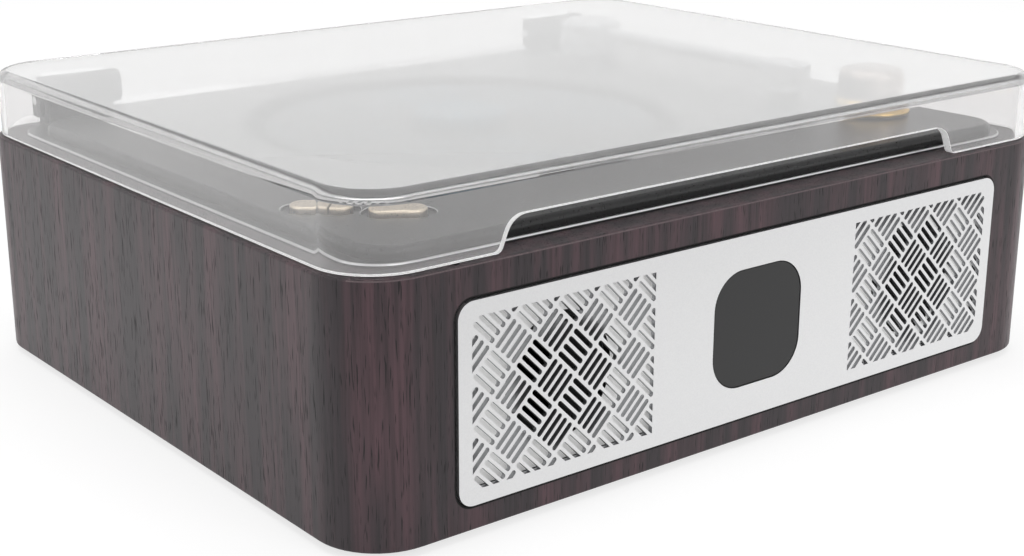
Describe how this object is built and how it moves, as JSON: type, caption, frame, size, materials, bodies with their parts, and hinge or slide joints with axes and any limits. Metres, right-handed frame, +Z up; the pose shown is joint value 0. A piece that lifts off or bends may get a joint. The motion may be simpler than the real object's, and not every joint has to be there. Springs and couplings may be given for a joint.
{
  "type": "desktop cd player",
  "caption": "Desktop CD player: wooden cabinet with a grilled metal front and small speakers, a black deck with a disc well, keys and a knob, and a hinged clear dust cover.",
  "frame": {"origin": "centre of the plan at the underside of the feet", "axes": "+Z up, +X to the right as the front is seen, +Y to the back, front faces -Y"},
  "size_m": [0.26, 0.2138, 0.0904],
  "materials": {
    "wood_veneer": "satin open-grained dark veneer",
    "hardwood": "sawn",
    "aluminium_panel": "fine satin anodised",
    "smoked_window": "gloss",
    "white_moulding": "fine texture",
    "cone_paper": "pulp",
    "black_rubber": "matt",
    "plated_steel": "plated",
    "ferrite": "matt",
    "black_deck": "satin black moulding",
    "black_moulding": "fine texture",
    "base_board": "fine texture",
    "disc_mirror": "mirrored data side and clear layer",
    "lens_clear": "clear",
    "steel_rod": "ground",
    "champagne_brass": "fine satin",
    "polished_brass": "polished",
    "satin_aluminium": "satin",
    "clear_acrylic": "clear",
    "circuit_board": "solder mask",
    "component_black": "moulded"
  },
  "bodies": {
    "cabinet": {"cabinet_shell": "wood_veneer", "base_plate": "base_board", "rubber_feet": "black_rubber", "deck_cleats": "hardwood", "wood_screws": "plated_steel", "small_screws": "plated_steel", "front_panel": "aluminium_panel", "display_window": "smoked_window", "display_board": "circuit_board", "speaker_baffle": "white_moulding", "left_speaker_basket": "plated_steel", "left_speaker_magnet": "ferrite", "left_speaker_cone": "cone_paper", "left_speaker_surround": "black_rubber", "left_speaker_dust_cap": "cone_paper", "right_speaker_basket": "plated_steel", "right_speaker_magnet": "ferrite", "right_speaker_cone": "cone_paper", "right_speaker_surround": "black_rubber", "right_speaker_dust_cap": "cone_paper", "deck": "black_deck", "mechanism_chassis": "plated_steel", "chassis_dampers": "black_rubber", "spindle_motor": "plated_steel", "guide_rods": "steel_rod", "sled_motor": "plated_steel", "button_board": "circuit_board", "key_switches": "component_black", "volume_potentiometer": "plated_steel", "potentiometer_nut": "plated_steel", "arm_base": "satin_aluminium", "arm_rest": "black_moulding", "left_hinge_block": "black_moulding", "right_hinge_block": "black_moulding", "cover_bumpers": "lens_clear", "rear_panel": "black_moulding", "power_inlet": "component_black", "audio_socket": "component_black", "main_board": "circuit_board", "board_components": "component_black"},
    "cover": {"dust_cover": "clear_acrylic", "left_hinge_bracket": "black_moulding", "right_hinge_bracket": "black_moulding", "hinge_pins": "steel_rod"},
    "platter": {"spindle_shaft": "steel_rod", "spindle_hub": "black_moulding", "compact_disc": "disc_mirror", "clamp_puck": "satin_aluminium"},
    "sled": {"pickup_sled": "black_moulding", "objective_lens": "lens_clear"},
    "drive_screw": {"lead_screw": "steel_rod"},
    "previous_key": {"previous_button": "champagne_brass"},
    "next_key": {"next_button": "champagne_brass"},
    "play_key": {"play_button": "champagne_brass"},
    "volume": {"volume_knob": "polished_brass", "volume_shaft": "plated_steel"},
    "arm": {"arm_housing": "satin_aluminium", "arm_tube": "satin_aluminium", "arm_head": "black_moulding"}
  },
  "joints": [
    {"name": "cover_hinge", "type": "hinge", "parent": "cabinet", "child": "cover", "pos_m": [0, 0.1006, 0.0782], "axis": [-1, 0, 0], "range_deg": [0, 70]},
    {"name": "disc_spin", "type": "hinge", "parent": "cabinet", "child": "platter", "pos_m": [-0.017, 0.005, 0.07], "axis": [0, 0, -1], "continuous": true},
    {"name": "screw_spin", "type": "hinge", "parent": "cabinet", "child": "drive_screw", "pos_m": [0.01, -0.03, 0.0591], "axis": [0, 1, 0], "range_deg": [0, 3600]},
    {"name": "sled_slide", "type": "slide", "parent": "cabinet", "child": "sled", "axis": [0, -1, 0], "range_m": [0, 0.03]},
    {"name": "previous_press", "type": "slide", "parent": "cabinet", "child": "previous_key", "axis": [0, 0, -1], "range_m": [0, 0.0008], "stiffness_N_per_m": 600, "springref_m": -0.001},
    {"name": "next_press", "type": "slide", "parent": "cabinet", "child": "next_key", "axis": [0, 0, -1], "range_m": [0, 0.0008], "stiffness_N_per_m": 600, "springref_m": -0.001},
    {"name": "play_press", "type": "slide", "parent": "cabinet", "child": "play_key", "axis": [0, 0, -1], "range_m": [0, 0.0008], "stiffness_N_per_m": 600, "springref_m": -0.001},
    {"name": "volume_turn", "type": "hinge", "parent": "cabinet", "child": "volume", "pos_m": [0.096, -0.0614, 0.08], "axis": [0, 0, -1], "range_deg": [0, 300]},
    {"name": "arm_swing", "type": "hinge", "parent": "cabinet", "child": "arm", "pos_m": [0.092, 0.07, 0.082], "axis": [0, 0, -1], "range_deg": [0, 48]}
  ],
  "couplings": [
    {"joint": "screw_spin", "follows": "sled_slide", "rad_per_m": 2094.4}
  ]
}
